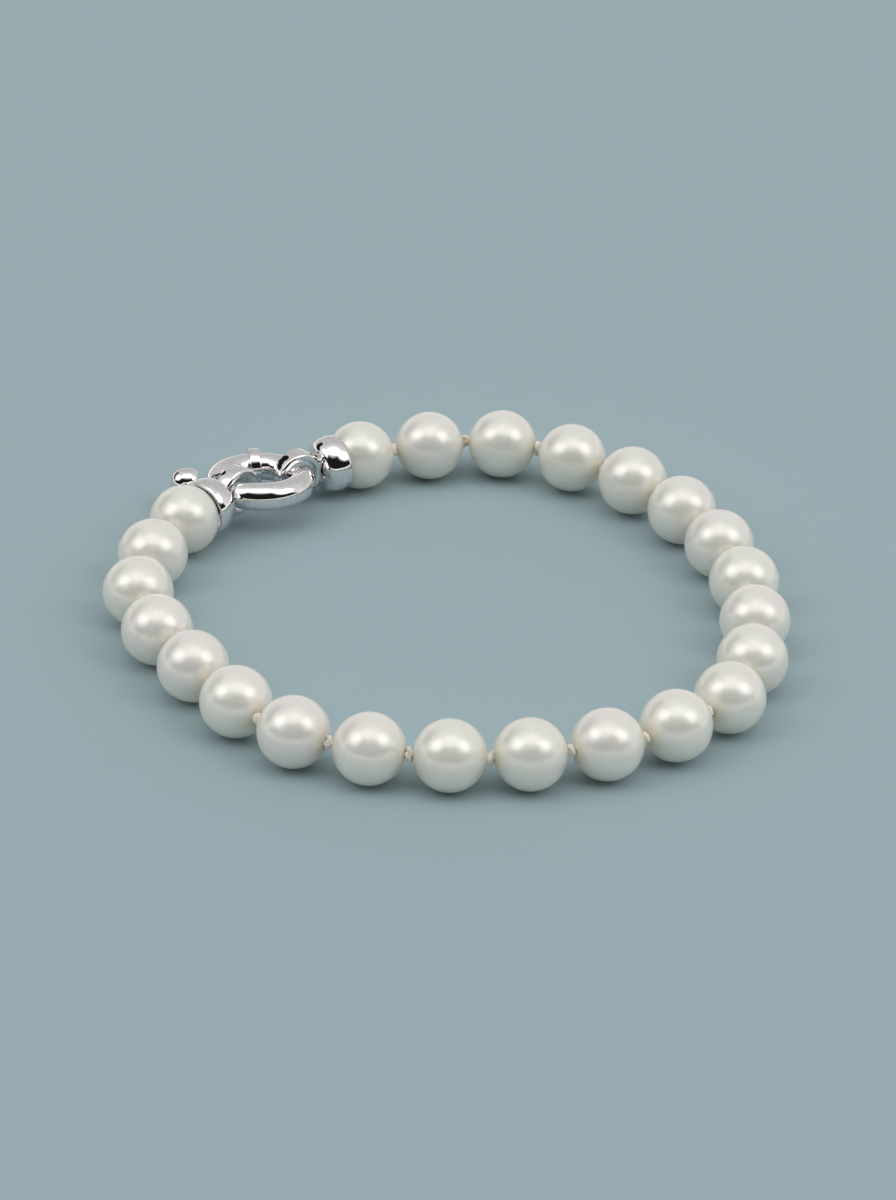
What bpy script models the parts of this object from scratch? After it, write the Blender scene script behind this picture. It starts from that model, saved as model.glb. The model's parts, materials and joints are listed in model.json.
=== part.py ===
"""Pearl bracelet: a knotted strand of drilled pearls closed by a silver bolt-ring clasp.

The bracelet lies on the surface z = 0 as one open loop. Pearls, silk, two end caps, the ring
and its sprung bolt are separate solids. Metres, +Z up, origin under the middle of the loop.
"""
import math

import bmesh
import bpy
from mathutils import Matrix, Vector

# Strand
PEARL_COUNT = 23
PEARL_DIAMETER = 0.0070
DRILL_DIAMETER = 0.0009
KNOT_GAP = 0.0006          # clear space between two neighbouring pearls, at their drill holes
SILK_DIAMETER = 0.0005
KNOT_DIAMETER = 0.0012
KNOT_CLEARANCE = 0.0001    # from a knot to the pearl on each side

# End caps: a cup on the last pearl, with an eye that the ring passes through
CAP_DIAMETER = 0.0059
CAP_RIM_SHARE = 0.965      # of the cup's diameter, across its rim
CAP_RIM_WALL = 0.000285    # of silver round the pearl at the rim
CAP_LENGTH = 0.0028        # rim to the top of the dome
PEARL_SEAT_CLEARANCE = 0.00015
SILK_SOCKET_DIAMETER = 0.0022
SILK_SOCKET_DEPTH = 0.0009
EYE_NECK = 0.0004          # from the dome to the eye's hole
EYE_WALL = 0.00080
EYE_WIDTH = 0.0018
EYE_CLEARANCE = 0.00035    # between the ring's tube and the eye, all round
EYE_EDGE_RADIUS = 0.0003
EYE_SLACK = 0.00075        # that the left eye hangs beyond the middle of the thin bolt

# Bolt ring
RING_RADIUS = 0.00434      # to the middle of the tube
TUBE_DIAMETER = 0.0028
TUBE_WALL = 0.0004
RUNNING_CLEARANCE = 0.0003
COLLAR_WIDTH = 0.00115
COLLAR_HEIGHT = 0.0005     # that it stands proud of the tube
COLLAR_EDGE_RADIUS = 0.00012
NECK_DIAMETER = 0.0007
KNOB_DIAMETER = 0.0027
KNOB_LENGTH = 0.0026
KNOB_GAP = 0.0006          # between the tube and the knob

# Angles round the ring, counter-clockwise from the line that joins the two end pearls
ARM_BEND = math.radians(8.5)       # of the caps' axes to that line, on average
RING_TILT = math.radians(8.2)      # of the ring, its far side down
TILT_HEADING = math.radians(-30.0)  # of the level line that the ring tilts about
MOUTH_ANGLE = math.radians(158.0)  # where the tube ends beside the trigger
LIP_ANGLE = math.radians(207.0)    # where the tube begins beyond the gap
COLLAR_ANGLE = math.radians(61.0)
KNOB_ANGLE = math.radians(143.0)
BOLT_ENTRY = math.radians(5.0)     # of the closed bolt's tip inside the lip
BOLT_TAIL = math.radians(20.0)     # of the bolt behind the trigger's neck
BOLT_STROKE = math.radians(52.0)   # that the trigger draws the bolt back

# Route of the strand seen from above, chosen by hand; its last point lies in the clasp
ROUTE_POINTS = [
    (-0.0268, 0.0137), (-0.0304, -0.0008), (-0.0242, -0.0145), (-0.0141, -0.0257),
    (0.0006, -0.0288), (0.0155, -0.0257), (0.0272, -0.0164), (0.0301, -0.0017),
    (0.0270, 0.0131), (0.0184, 0.0256), (0.0050, 0.0323), (-0.0095, 0.0287),
    (-0.0199, 0.0218),
]

# Facets
PEARL_SIDES = 16
PEARL_BANDS = 9            # an odd count leaves one flat band round the middle
CAP_SIDES = 24
EYE_SIDES = 28
TUBE_SIDES = 12
RING_STEPS = 34
BOLT_STEPS = 12
KNOB_SIDES = 18
SEAT_STEPS = 5
SLOT_STEPS = 14
SILK_RESOLUTION = 2        # 8 sides
BOLT_RESOLUTION = 3        # 10 sides
CURVE_SAMPLES = 60         # straight pieces between two route points
SMOOTH_ANGLE = math.radians(35)
MERGE_DISTANCE = 0.00001

# Search for the route's scale, as shares of a first guess, and its halvings
ROUTE_SHORTEST = 0.8
ROUTE_LONGEST = 1.3
HALVINGS = 50

PEARL_RADIUS = PEARL_DIAMETER / 2
PITCH = PEARL_DIAMETER + KNOT_GAP
TUBE_RADIUS = TUBE_DIAMETER / 2
BORE_RADIUS = TUBE_RADIUS - TUBE_WALL
BOLT_RADIUS = BORE_RADIUS - RUNNING_CLEARANCE
EYE_HOLE_RADIUS = TUBE_RADIUS + EYE_CLEARANCE
EYE_RADIUS = EYE_HOLE_RADIUS + EYE_WALL
SEAT_RADIUS = PEARL_RADIUS + PEARL_SEAT_CLEARANCE
RIM_SEAT_RADIUS = CAP_DIAMETER / 2 * CAP_RIM_SHARE - CAP_RIM_WALL
CAP_SETBACK = math.sqrt(SEAT_RADIUS ** 2 - RIM_SEAT_RADIUS ** 2)  # from the pearl's centre to the rim
CAP_TOP = CAP_SETBACK + CAP_LENGTH
EYE_DISTANCE = CAP_TOP + EYE_NECK + EYE_HOLE_RADIUS
RIGHT_ARM = EYE_DISTANCE + RING_RADIUS
LEFT_ARM = RIGHT_ARM - EYE_SLACK
CLASP_SPAN = (LEFT_ARM + RIGHT_ARM) * math.cos(ARM_BEND)
UP = Vector((0, 0, 1))


def clear_scene():
    """Removes every object of the open scene."""
    for item in list(bpy.data.objects):
        bpy.data.objects.remove(item, do_unlink=True)


def new_collection(name):
    """Makes a collection inside the scene's own."""
    collection = bpy.data.collections.new(name)
    bpy.context.scene.collection.children.link(collection)
    return collection


def new_material(name, colour, metallic, roughness):
    """Makes a plain Principled material."""
    material = bpy.data.materials.new(name)
    material.use_nodes = True
    shader = material.node_tree.nodes["Principled BSDF"]
    shader.inputs["Base Color"].default_value = (*colour, 1.0)
    shader.inputs["Metallic"].default_value = metallic
    shader.inputs["Roughness"].default_value = roughness
    return material


def add_object(name, data, collection, matrix, material=None):
    """Links data under a name at a place, with its material."""
    item = bpy.data.objects.new(name, data)
    collection.objects.link(item)
    item.matrix_world = matrix
    if material is not None and not data.materials:
        data.materials.append(material)
    return item


def hide_cutter(item):
    """Marks an object as a cutter, which is no part of the model."""
    item.hide_render = True
    item.display_type = "WIRE"


def frame_at(origin, x_axis, z_axis):
    """Gives the matrix of a local frame from its place and two of its axes."""
    z_unit = Vector(z_axis).normalized()
    x_unit = Vector(x_axis)
    x_unit = (x_unit - z_unit * x_unit.dot(z_unit)).normalized()
    y_unit = z_unit.cross(x_unit)
    turn = Matrix((x_unit, y_unit, z_unit)).transposed().to_4x4()
    return Matrix.Translation(origin) @ turn


def profile_mesh(name, points, closed):
    """Makes a mesh of edges from points in three dimensions."""
    mesh = bpy.data.meshes.new(name)
    count = len(points)
    last = count if closed else count - 1
    mesh.from_pydata(points, [(i, (i + 1) % count) for i in range(last)], [])
    return mesh


def add_screw(item, steps, angle=2 * math.pi, merge=True):
    """Turns an object's profile about its local Z axis."""
    screw = item.modifiers.new("turn", "SCREW")
    screw.angle = angle
    screw.steps = steps
    screw.render_steps = steps
    screw.use_merge_vertices = merge
    screw.merge_threshold = MERGE_DISTANCE
    screw.use_smooth_shade = True
    return screw


def add_boolean(item, other, operation):
    """Joins another solid to an object or cuts it away."""
    boolean = item.modifiers.new(operation.lower(), "BOOLEAN")
    boolean.operation = operation
    boolean.solver = "EXACT"
    boolean.object = other


def ball_angles(lowest_radius, ball_radius, bands):
    """Gives the latitudes of a drilled ball's facet rings, from the top hole down."""
    top = math.acos(lowest_radius / ball_radius)
    return [top - 2 * top * i / bands for i in range(bands + 1)]


def rounded_band(inner, outer, width, edge):
    """Gives the section of a flat ring whose two outer edges are rounded, running down outside."""
    half = width / 2
    corner = [math.radians(a) for a in (90, 45, 0)]
    top = [(outer - edge + edge * math.cos(a), half - edge + edge * math.sin(a)) for a in corner]
    bottom = [(radius, -height) for radius, height in reversed(top)]
    return [(inner, half)] + top + bottom + [(inner, -half)]


def smooth_route(points, scale):
    """Samples a closed Catmull-Rom curve through the route's points."""
    knots = [Vector(point) * scale for point in points]
    count = len(knots)
    samples = []
    for i in range(count):
        before, start, end, after = (knots[(i + k) % count] for k in (-1, 0, 1, 2))
        for step in range(CURVE_SAMPLES):
            t = step / CURVE_SAMPLES
            samples.append(0.5 * (2 * start + (end - before) * t
                                  + (2 * before - 5 * start + 4 * end - after) * t ** 2
                                  + (3 * start - before - 3 * end + after) * t ** 3))
    return samples


def walk_route(samples, pitch, count):
    """Sets points along the samples, each one pitch from the last; None if the curve is too short."""
    places = [samples[0]]
    index = 1
    while len(places) < count:
        centre = places[-1]
        while index < len(samples) and (samples[index] - centre).length < pitch:
            index += 1
        if index == len(samples):
            return None
        low, high = samples[index - 1], samples[index]
        for _ in range(HALVINGS):
            middle = (low + high) / 2
            if (middle - centre).length < pitch:
                low = middle
            else:
                high = middle
        places.append(high)
    return places


def place_pearls():
    """Scales the route until the strand leaves exactly the clasp's span, and centres the loop."""
    route_length = sum((Vector(a) - Vector(b)).length
                       for a, b in zip(ROUTE_POINTS, ROUTE_POINTS[1:] + ROUTE_POINTS[:1]))
    full = (PEARL_COUNT - 1) * PITCH + CLASP_SPAN
    small, large = ROUTE_SHORTEST * full / route_length, ROUTE_LONGEST * full / route_length
    for _ in range(HALVINGS):
        scale = (small + large) / 2
        places = walk_route(smooth_route(ROUTE_POINTS, scale), PITCH, PEARL_COUNT)
        if places is None or (places[-1] - places[0]).length < CLASP_SPAN:
            small = scale
        else:
            large = scale
    places = walk_route(smooth_route(ROUTE_POINTS, large), PITCH, PEARL_COUNT)
    middle = Vector([(min(p[k] for p in places) + max(p[k] for p in places)) / 2 for k in (0, 1)])
    return [Vector((*(place - middle), PEARL_RADIUS)) for place in places]


class ClaspLayout:
    """Works out where the caps and the ring lie between the first and the last pearl."""

    def __init__(self, first, last):
        along = (last - first).normalized()
        outward = UP.cross(along)
        span = (last - first).length
        reach = (span ** 2 + LEFT_ARM ** 2 - RIGHT_ARM ** 2) / (2 * span)
        offset = math.sqrt(LEFT_ARM ** 2 - reach ** 2)
        centre = first + along * reach + outward * offset
        level = along * math.cos(TILT_HEADING) + outward * math.sin(TILT_HEADING)
        normal = (UP * math.cos(RING_TILT) + UP.cross(level) * math.sin(RING_TILT)).normalized()
        self.ring = frame_at(centre, along, normal)
        self.left_axis = self.axis_to_tube(first, centre, normal)
        self.right_axis = self.axis_to_tube(last, centre, normal)

    def axis_to_tube(self, pearl, centre, normal):
        """Gives the direction from a pearl to the middle of the ring's tube nearest to it."""
        way = pearl - centre
        in_plane = (way - normal * way.dot(normal)).normalized()
        return (centre + in_plane * RING_RADIUS - pearl).normalized()


def level_way(way):
    """Gives a direction's level part, at unit length."""
    return Vector((way.x, way.y, 0.0)).normalized()


def pearl_axes(places, layout):
    """Gives each pearl's drill axis along the string, from the left cap to the right cap."""
    chords = [(after - before).normalized() for before, after in zip(places, places[1:])]
    ways = [-level_way(layout.left_axis)] + chords + [level_way(layout.right_axis)]
    return [(arriving + leaving).normalized() for arriving, leaving in zip(ways, ways[1:])]


def build_pearls(places, axes, collection, material):
    """Makes one drilled pearl and sets a copy at each place, a facet down on the surface."""
    hole = DRILL_DIAMETER / 2
    half_step = math.pi / PEARL_SIDES
    angles = ball_angles(hole, PEARL_RADIUS, PEARL_BANDS)
    band_fit = math.cos((angles[0] - angles[1]) / 2)
    width_fit = 1 / (math.cos(half_step) * band_fit)
    outline = [(PEARL_RADIUS * width_fit * math.cos(a), PEARL_RADIUS * math.sin(a)) for a in angles]
    outline[0] = (hole, outline[0][1])
    outline[-1] = (hole, outline[-1][1])
    turned = [(r * math.cos(half_step), r * math.sin(half_step), z) for r, z in outline]
    mesh = profile_mesh("pearl", turned, closed=True)
    mesh.materials.append(material)
    for number, (place, axis) in enumerate(zip(places, axes), start=1):
        pearl = add_object(f"pearl_{number:02d}", mesh, collection, frame_at(place, -UP, axis))
        add_screw(pearl, PEARL_SIDES)


def string_points(places, axes, layout):
    """Lists the silk's points and radii from one cap's socket to the other."""
    silk = SILK_DIAMETER / 2
    knot = KNOT_DIAMETER / 2
    hole_end = math.sqrt(PEARL_RADIUS ** 2 - (DRILL_DIAMETER / 2) ** 2)
    knot_length = KNOT_GAP - 2 * KNOT_CLEARANCE
    knot_table = [  # share of the knot's length, share of its radius
        (-0.5, 0.62),
        (-0.3, 0.92),
        (0.0, 1.0),
        (0.3, 0.92),
        (0.5, 0.62),
    ]
    socket = SEAT_RADIUS + SILK_SOCKET_DEPTH - RUNNING_CLEARANCE
    left_end = (layout.left_axis - axes[0]).normalized() * socket
    right_end = (layout.right_axis + axes[-1]).normalized() * socket
    points = [(places[0] + left_end, silk)]
    for number, (place, axis) in enumerate(zip(places, axes)):
        points.append((place - axis * hole_end, silk))
        points.append((place + axis * hole_end, silk))
        if number + 1 < len(places):
            start = place + axis * hole_end
            end = places[number + 1] - axes[number + 1] * hole_end
            way = (places[number + 1] - place).normalized()
            middle = (start + end) / 2
            for along, share in knot_table:
                points.append((middle + way * knot_length * along, knot * share))
    points.append((places[-1] + right_end, silk))
    return points


def build_silk(places, axes, layout, collection, material):
    """Makes the silk through every pearl, with a knot between each two, as one swept strand."""
    points = string_points(places, axes, layout)
    curve = bpy.data.curves.new("silk_strand", "CURVE")
    curve.dimensions = "3D"
    curve.bevel_depth = 1.0
    curve.bevel_resolution = SILK_RESOLUTION
    curve.use_fill_caps = True
    spline = curve.splines.new("POLY")
    spline.points.add(len(points) - 1)
    for target, (place, radius) in zip(spline.points, points):
        target.co = (*place, 1.0)
        target.radius = radius
    return add_object("silk_strand", curve, collection, Matrix.Identity(4), material)


def cap_outline():
    """Gives the cap's outline from its dome, down outside, over the rim and up the seat."""
    radius = CAP_DIAMETER / 2
    dome_table = [  # share of the cap's length from the rim, share of its radius
        (1.0, 0.30),
        (0.965, 0.54),
        (0.90, 0.72),
        (0.78, 0.86),
        (0.56, 0.955),
        (0.27, 1.0),
        (0.06, 0.99),
        (0.0, CAP_RIM_SHARE),
    ]
    outline = [(0.0, CAP_TOP)]
    outline += [(radius * share, CAP_SETBACK + CAP_LENGTH * along) for along, share in dome_table]
    socket = SILK_SOCKET_DIAMETER / 2
    first = math.asin(CAP_SETBACK / SEAT_RADIUS)
    last = math.acos(socket / SEAT_RADIUS)
    for i in range(SEAT_STEPS + 1):
        angle = first + (last - first) * i / SEAT_STEPS
        outline.append((SEAT_RADIUS * math.cos(angle), SEAT_RADIUS * math.sin(angle)))
    floor = SEAT_RADIUS + SILK_SOCKET_DEPTH
    return outline + [(socket, floor), (0.0, floor)]


def build_cap(name, place, axis, collection, cutters, material):
    """Makes an end cap with its eye and cuts the eye's hole through both."""
    matrix = frame_at(place, axis.cross(UP), axis)
    outline = [(r, 0.0, z) for r, z in cap_outline()]
    cap = add_object(name, profile_mesh(name, outline, closed=False), collection, matrix, material)
    add_screw(cap, CAP_SIDES)
    eye_matrix = frame_at(place + axis * EYE_DISTANCE, UP, axis.cross(UP))
    section = rounded_band(EYE_HOLE_RADIUS, EYE_RADIUS, EYE_WIDTH, EYE_EDGE_RADIUS)
    band = profile_mesh(name + "_eye", [(r, 0.0, z) for r, z in section], closed=True)
    eye = add_object(name + "_eye", band, cutters, eye_matrix)
    add_screw(eye, EYE_SIDES)
    drill = profile_mesh(name + "_hole", [
        (0.0, 0.0, CAP_DIAMETER),
        (EYE_HOLE_RADIUS, 0.0, CAP_DIAMETER),
        (EYE_HOLE_RADIUS, 0.0, -CAP_DIAMETER),
        (0.0, 0.0, -CAP_DIAMETER),
    ], closed=False)
    hole = add_object(name + "_hole", drill, cutters, eye_matrix)
    add_screw(hole, EYE_SIDES)
    add_boolean(cap, hole, "DIFFERENCE")
    add_boolean(cap, eye, "UNION")
    hide_cutter(eye)
    hide_cutter(hole)
    return cap


def ring_point(angle, radius, height):
    """Gives a point of the ring's own frame from its angle, radius and height."""
    return (radius * math.cos(angle), radius * math.sin(angle), height)


def round_section(angle, radius):
    """Gives the tube's round section at an angle of the ring, running down its outer side."""
    turns = [2 * math.pi * i / TUBE_SIDES for i in range(TUBE_SIDES)]
    return [ring_point(angle, RING_RADIUS + radius * math.cos(t), -radius * math.sin(t)) for t in turns]


def slot_cutter(layout, cutters):
    """Makes the sector that cuts the trigger's slot, from its closed end out through the mouth."""
    half_height = NECK_DIAMETER / 2 + RUNNING_CLEARANCE
    end_margin = half_height / (RING_RADIUS + BORE_RADIUS)
    start = KNOB_ANGLE - BOLT_STROKE - end_margin
    end = MOUTH_ANGLE + end_margin
    inner = RING_RADIUS + BOLT_RADIUS / 2
    outer = RING_RADIUS + TUBE_DIAMETER
    angles = [start + (end - start) * i / SLOT_STEPS for i in range(SLOT_STEPS + 1)]
    rim = [ring_point(a, outer, 0.0) for a in angles]
    rim += [ring_point(a, inner, 0.0) for a in reversed(angles)]
    shape = bmesh.new()
    face = shape.faces.new([shape.verts.new(point) for point in rim])
    top = bmesh.ops.extrude_face_region(shape, geom=[face])
    lifted = [item for item in top["geom"] if isinstance(item, bmesh.types.BMVert)]
    bmesh.ops.translate(shape, vec=(0, 0, 2 * half_height), verts=lifted)
    bmesh.ops.translate(shape, vec=(0, 0, -half_height), verts=shape.verts)
    bmesh.ops.recalc_face_normals(shape, faces=shape.faces)
    mesh = bpy.data.meshes.new("trigger_slot")
    shape.to_mesh(mesh)
    shape.free()
    cutter = add_object("trigger_slot", mesh, cutters, layout.ring)
    hide_cutter(cutter)
    return cutter


def build_ring(layout, collection, cutters, material):
    """Makes the hollow ring with its gap, its collar and the trigger's slot."""
    section = profile_mesh("bolt_ring", round_section(LIP_ANGLE, TUBE_RADIUS), closed=True)
    ring = add_object("bolt_ring", section, collection, layout.ring, material)
    sweep = 2 * math.pi + MOUTH_ANGLE - LIP_ANGLE
    add_screw(ring, RING_STEPS, angle=sweep, merge=False)
    wall = ring.modifiers.new("wall", "SOLIDIFY")
    wall.thickness = TUBE_WALL
    wall.offset = -1.0
    wall.use_rim = True
    band = rounded_band(TUBE_RADIUS - TUBE_WALL / 2, TUBE_RADIUS + COLLAR_HEIGHT,
                        COLLAR_WIDTH, COLLAR_EDGE_RADIUS)
    collar_mesh = profile_mesh("collar", [(r, 0.0, z) for r, z in band], closed=True)
    tangent = Vector((-math.sin(COLLAR_ANGLE), math.cos(COLLAR_ANGLE), 0.0))
    centre = Vector(ring_point(COLLAR_ANGLE, RING_RADIUS, 0.0))
    collar_matrix = layout.ring @ frame_at(centre, UP, tangent)
    collar = add_object("collar", collar_mesh, cutters, collar_matrix)
    add_screw(collar, EYE_SIDES)
    hide_cutter(collar)
    add_boolean(ring, collar, "UNION")
    add_boolean(ring, slot_cutter(layout, cutters), "DIFFERENCE")
    return ring


def mesh_from_curve(item, name, collection):
    """Replaces a curve object by a closed mesh object in the same place."""
    bpy.context.view_layer.update()
    evaluated = item.evaluated_get(bpy.context.evaluated_depsgraph_get())
    mesh = bpy.data.meshes.new_from_object(evaluated)
    shape = bmesh.new()
    shape.from_mesh(mesh)
    bmesh.ops.remove_doubles(shape, verts=shape.verts, dist=MERGE_DISTANCE)
    shape.to_mesh(mesh)
    shape.free()
    solid = bpy.data.objects.new(name, mesh)
    collection.objects.link(solid)
    solid.matrix_world = item.matrix_world
    bpy.data.objects.remove(item, do_unlink=True)
    return solid


def knob_outline(inner_end):
    """Gives the trigger's knob from its domed outer end down to the disc beside the ring."""
    radius = KNOB_DIAMETER / 2
    knob_table = [  # share of the knob's length from the disc, share of its radius
        (1.0, 0.0),
        (0.985, 0.32),
        (0.92, 0.60),
        (0.80, 0.82),
        (0.62, 0.95),
        (0.40, 1.0),
        (0.20, 0.97),
        (0.06, 0.86),
        (0.0, 0.76),
        (0.0, 0.0),
    ]
    return [(radius * share, 0.0, inner_end + KNOB_LENGTH * along) for along, share in knob_table]


def build_bolt(layout, collection, cutters, material):
    """Makes the curved bolt with its neck and knob; its origin lies on the ring's own axis."""
    tip = LIP_ANGLE + BOLT_ENTRY
    tail = KNOB_ANGLE - BOLT_TAIL
    curve = bpy.data.curves.new("bolt_rod", "CURVE")
    curve.dimensions = "3D"
    curve.bevel_depth = BOLT_RADIUS
    curve.bevel_resolution = BOLT_RESOLUTION
    curve.use_fill_caps = True
    spline = curve.splines.new("POLY")
    spline.points.add(BOLT_STEPS)
    for i, target in enumerate(spline.points):
        angle = tail + (tip - tail) * i / BOLT_STEPS
        target.co = (*ring_point(angle, RING_RADIUS, 0.0), 1.0)
    rod = add_object("bolt_rod", curve, collection, layout.ring)
    bolt = mesh_from_curve(rod, "bolt_trigger", collection)
    bolt.data.materials.clear()
    bolt.data.materials.append(material)

    outward = Vector(ring_point(KNOB_ANGLE, 1.0, 0.0))
    knob_start = RING_RADIUS + TUBE_RADIUS + KNOB_GAP
    knob_matrix = layout.ring @ frame_at((0, 0, 0), UP, outward)
    knob_mesh = profile_mesh("knob", knob_outline(knob_start), closed=False)
    knob = add_object("knob", knob_mesh, cutters, knob_matrix)
    add_screw(knob, KNOB_SIDES)
    neck_start = RING_RADIUS
    neck_end = knob_start + KNOB_LENGTH / 3
    neck_outline = [
        (0.0, 0.0, neck_end),
        (NECK_DIAMETER / 2, 0.0, neck_end),
        (NECK_DIAMETER / 2, 0.0, neck_start),
        (0.0, 0.0, neck_start),
    ]
    neck_mesh = profile_mesh("neck", neck_outline, closed=False)
    neck = add_object("neck", neck_mesh, cutters, knob_matrix)
    add_screw(neck, TUBE_SIDES)
    for extra in (neck, knob):
        hide_cutter(extra)
        add_boolean(bolt, extra, "UNION")
    return bolt


def shade_round(collection):
    """Shades the meshes smooth apart from their sharp edges."""
    for item in collection.objects:
        if item.type == "MESH" and item.data.polygons:
            item.data.shade_smooth()
            item.data.set_sharp_from_angle(angle=SMOOTH_ANGLE)


def main():
    """Builds the bracelet in its own frame."""
    clear_scene()
    bracelet = new_collection("pearl_bracelet")
    cutters = new_collection("cutters")
    pearl = new_material("cultured_pearl", (0.80, 0.77, 0.70), 0.0, 0.18)
    silk = new_material("bead_silk", (0.82, 0.77, 0.64), 0.0, 0.75)
    silver = new_material("polished_silver", (0.83, 0.83, 0.82), 1.0, 0.08)

    places = place_pearls()
    layout = ClaspLayout(places[0], places[-1])
    axes = pearl_axes(places, layout)
    build_pearls(places, axes, bracelet, pearl)
    build_silk(places, axes, layout, bracelet, silk)
    build_cap("end_cap_left", places[0], layout.left_axis, bracelet, cutters, silver)
    build_cap("end_cap_right", places[-1], layout.right_axis, bracelet, cutters, silver)
    build_ring(layout, bracelet, cutters, silver)
    build_bolt(layout, bracelet, cutters, silver)
    shade_round(bracelet)


main()
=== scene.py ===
"""Pearl bracelet: round pearls, knotted silk and a polished silver bolt-ring clasp.

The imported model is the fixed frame. Each solid of it is dressed by a finer piece in the same
place: nacre over the pearls, a twisted cord through them, and turned and spun silver for the
end caps, the ring and its bolt. Metres, +Z up.
"""
import json
import logging
import math
from collections.abc import Callable, Iterable, Iterator
from contextlib import contextmanager
from dataclasses import dataclass, field
from enum import Enum

import bmesh
import bpy
from bpy.types import Material, Node, NodeSocket, NodeTree, Object
from mathutils import Matrix, Vector


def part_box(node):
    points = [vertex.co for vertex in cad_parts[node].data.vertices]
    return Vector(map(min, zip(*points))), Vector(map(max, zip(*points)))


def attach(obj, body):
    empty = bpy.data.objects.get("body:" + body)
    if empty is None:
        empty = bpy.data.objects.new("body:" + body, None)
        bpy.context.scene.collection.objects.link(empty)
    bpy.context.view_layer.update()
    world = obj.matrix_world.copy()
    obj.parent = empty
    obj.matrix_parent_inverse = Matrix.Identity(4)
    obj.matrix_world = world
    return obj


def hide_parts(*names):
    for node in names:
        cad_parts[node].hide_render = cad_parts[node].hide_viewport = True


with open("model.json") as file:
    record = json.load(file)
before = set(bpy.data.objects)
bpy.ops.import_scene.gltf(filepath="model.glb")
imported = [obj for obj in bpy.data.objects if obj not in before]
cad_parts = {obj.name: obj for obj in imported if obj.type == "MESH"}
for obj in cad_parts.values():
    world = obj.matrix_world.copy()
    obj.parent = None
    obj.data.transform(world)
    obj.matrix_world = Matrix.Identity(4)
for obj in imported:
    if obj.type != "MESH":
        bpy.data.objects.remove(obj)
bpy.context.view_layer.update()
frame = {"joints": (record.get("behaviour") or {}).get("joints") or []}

LOG = logging.getLogger("pearl_bracelet")
MM = 0.001
UP = Vector((0, 0, 1))
TURN = 2 * math.pi
QUARTER = math.radians(90)
GOLDEN_TURN = math.radians(137.5)  # from one copy to the next, so that no neighbours look alike
PEARL_RADIUS = 3.5 * MM
MERGE = 0.002 * MM                 # points closer than this are one
SLIVER = 0.0004 * MM               # a boolean's edges shorter than this are dissolved
CORNER = math.radians(50)          # edges sharper than this are rounded
CREASE = math.radians(38)          # edges sharper than this stay sharp in the shading

Point2 = tuple[float, float]
Colour = tuple[float, float, float, float]
Settings = dict[str | int, object]
Source = Node | NodeSocket
Links = dict[str | int, Source]


class Body(Enum):
    """The two rigid bodies of the frame."""

    BRACELET = "bracelet"
    BOLT = "bolt"


class Slot(Enum):
    """The material slots of the record."""

    PEARL = "pearl"
    SILK = "silk"
    SILVER = "silver"


class Side(Enum):
    """The end of the strand that a cap closes."""

    LEFT = "end_cap_left"
    RIGHT = "end_cap_right"


# Editing


def activate(item: Object) -> None:
    """Makes an object the only selected one and the active one.

    Args:
        item: the object.
    """
    bpy.ops.object.select_all(action="DESELECT")
    item.select_set(True)
    bpy.context.view_layer.objects.active = item


@contextmanager
def editing(item: Object) -> Iterator[None]:
    """Opens an object in edit mode with all of it selected, and closes it again.

    Args:
        item: the mesh object to edit.
    """
    activate(item)
    bpy.ops.object.mode_set(mode="EDIT")
    bpy.ops.mesh.select_all(action="SELECT")
    yield
    bpy.ops.object.mode_set(mode="OBJECT")


def pick(item: Object, test: Callable[[Vector], bool]) -> None:
    """Selects the vertices that pass a test of their place, and nothing else.

    Args:
        item: the mesh object in edit mode.
        test: tells whether a place belongs to the selection.
    """
    bpy.ops.mesh.select_all(action="DESELECT")
    bpy.ops.mesh.select_mode(type="VERT")
    mesh = bmesh.from_edit_mesh(item.data)
    for vertex in mesh.verts:
        vertex.select = test(vertex.co)
    mesh.select_flush_mode()
    bmesh.update_edit_mesh(item.data)


def apply_modifier(item: Object, kind: str, **settings: object) -> None:
    """Adds one modifier with its settings and applies it.

    Args:
        item: the object that takes it.
        kind: Blender's name of the modifier's type.
        settings: the modifier's properties by name.
    """
    activate(item)
    modifier = item.modifiers.new(kind.lower(), kind)
    for key, value in settings.items():
        setattr(modifier, key, value)
    bpy.ops.object.modifier_apply(modifier=modifier.name)


def combine(item: Object, other: Object, operation: str) -> None:
    """Joins a second solid to an object or cuts it away, and dissolves the slivers it leaves.

    Args:
        item: the object that stays.
        other: the solid, which is used up.
        operation: UNION or DIFFERENCE.
    """
    apply_modifier(item, "BOOLEAN", operation=operation, solver="EXACT", object=other)
    bpy.data.objects.remove(other, do_unlink=True)
    with editing(item):
        bpy.ops.mesh.dissolve_degenerate(threshold=SLIVER)


def round_corners(item: Object, width: float) -> None:
    """Rounds every sharp edge of an object."""
    apply_modifier(item, "BEVEL", width=width, segments=3, limit_method="ANGLE",
                   angle_limit=CORNER, offset_type="OFFSET", use_clamp_overlap=True)


def settle(item: Object, matrix: Matrix) -> None:
    """Moves an object and puts its place into its mesh, so that the object lies at the origin.

    Args:
        item: the object.
        matrix: the move, made after the object's own.
    """
    activate(item)
    item.matrix_world = matrix @ item.matrix_world
    bpy.ops.object.transform_apply(location=True, rotation=True, scale=True)


def smooth(item: Object, angle: float = CREASE) -> None:
    """Shades an object smooth, apart from the edges sharper than an angle."""
    activate(item)
    bpy.ops.object.shade_smooth_by_angle(angle=angle)


def duplicate(item: Object, name: str) -> Object:
    """Copies an object with a mesh of its own.

    Args:
        item: the model.
        name: the copy's name.

    Returns:
        The copy.
    """
    twin = item.copy()
    twin.data = item.data.copy()
    twin.name = name
    twin.data.name = name
    bpy.context.scene.collection.objects.link(twin)
    return twin


def radial(angle: float) -> Vector:
    """Gives the way out from the Z axis at an angle round it."""
    return Vector((math.cos(angle), math.sin(angle), 0))


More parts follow.
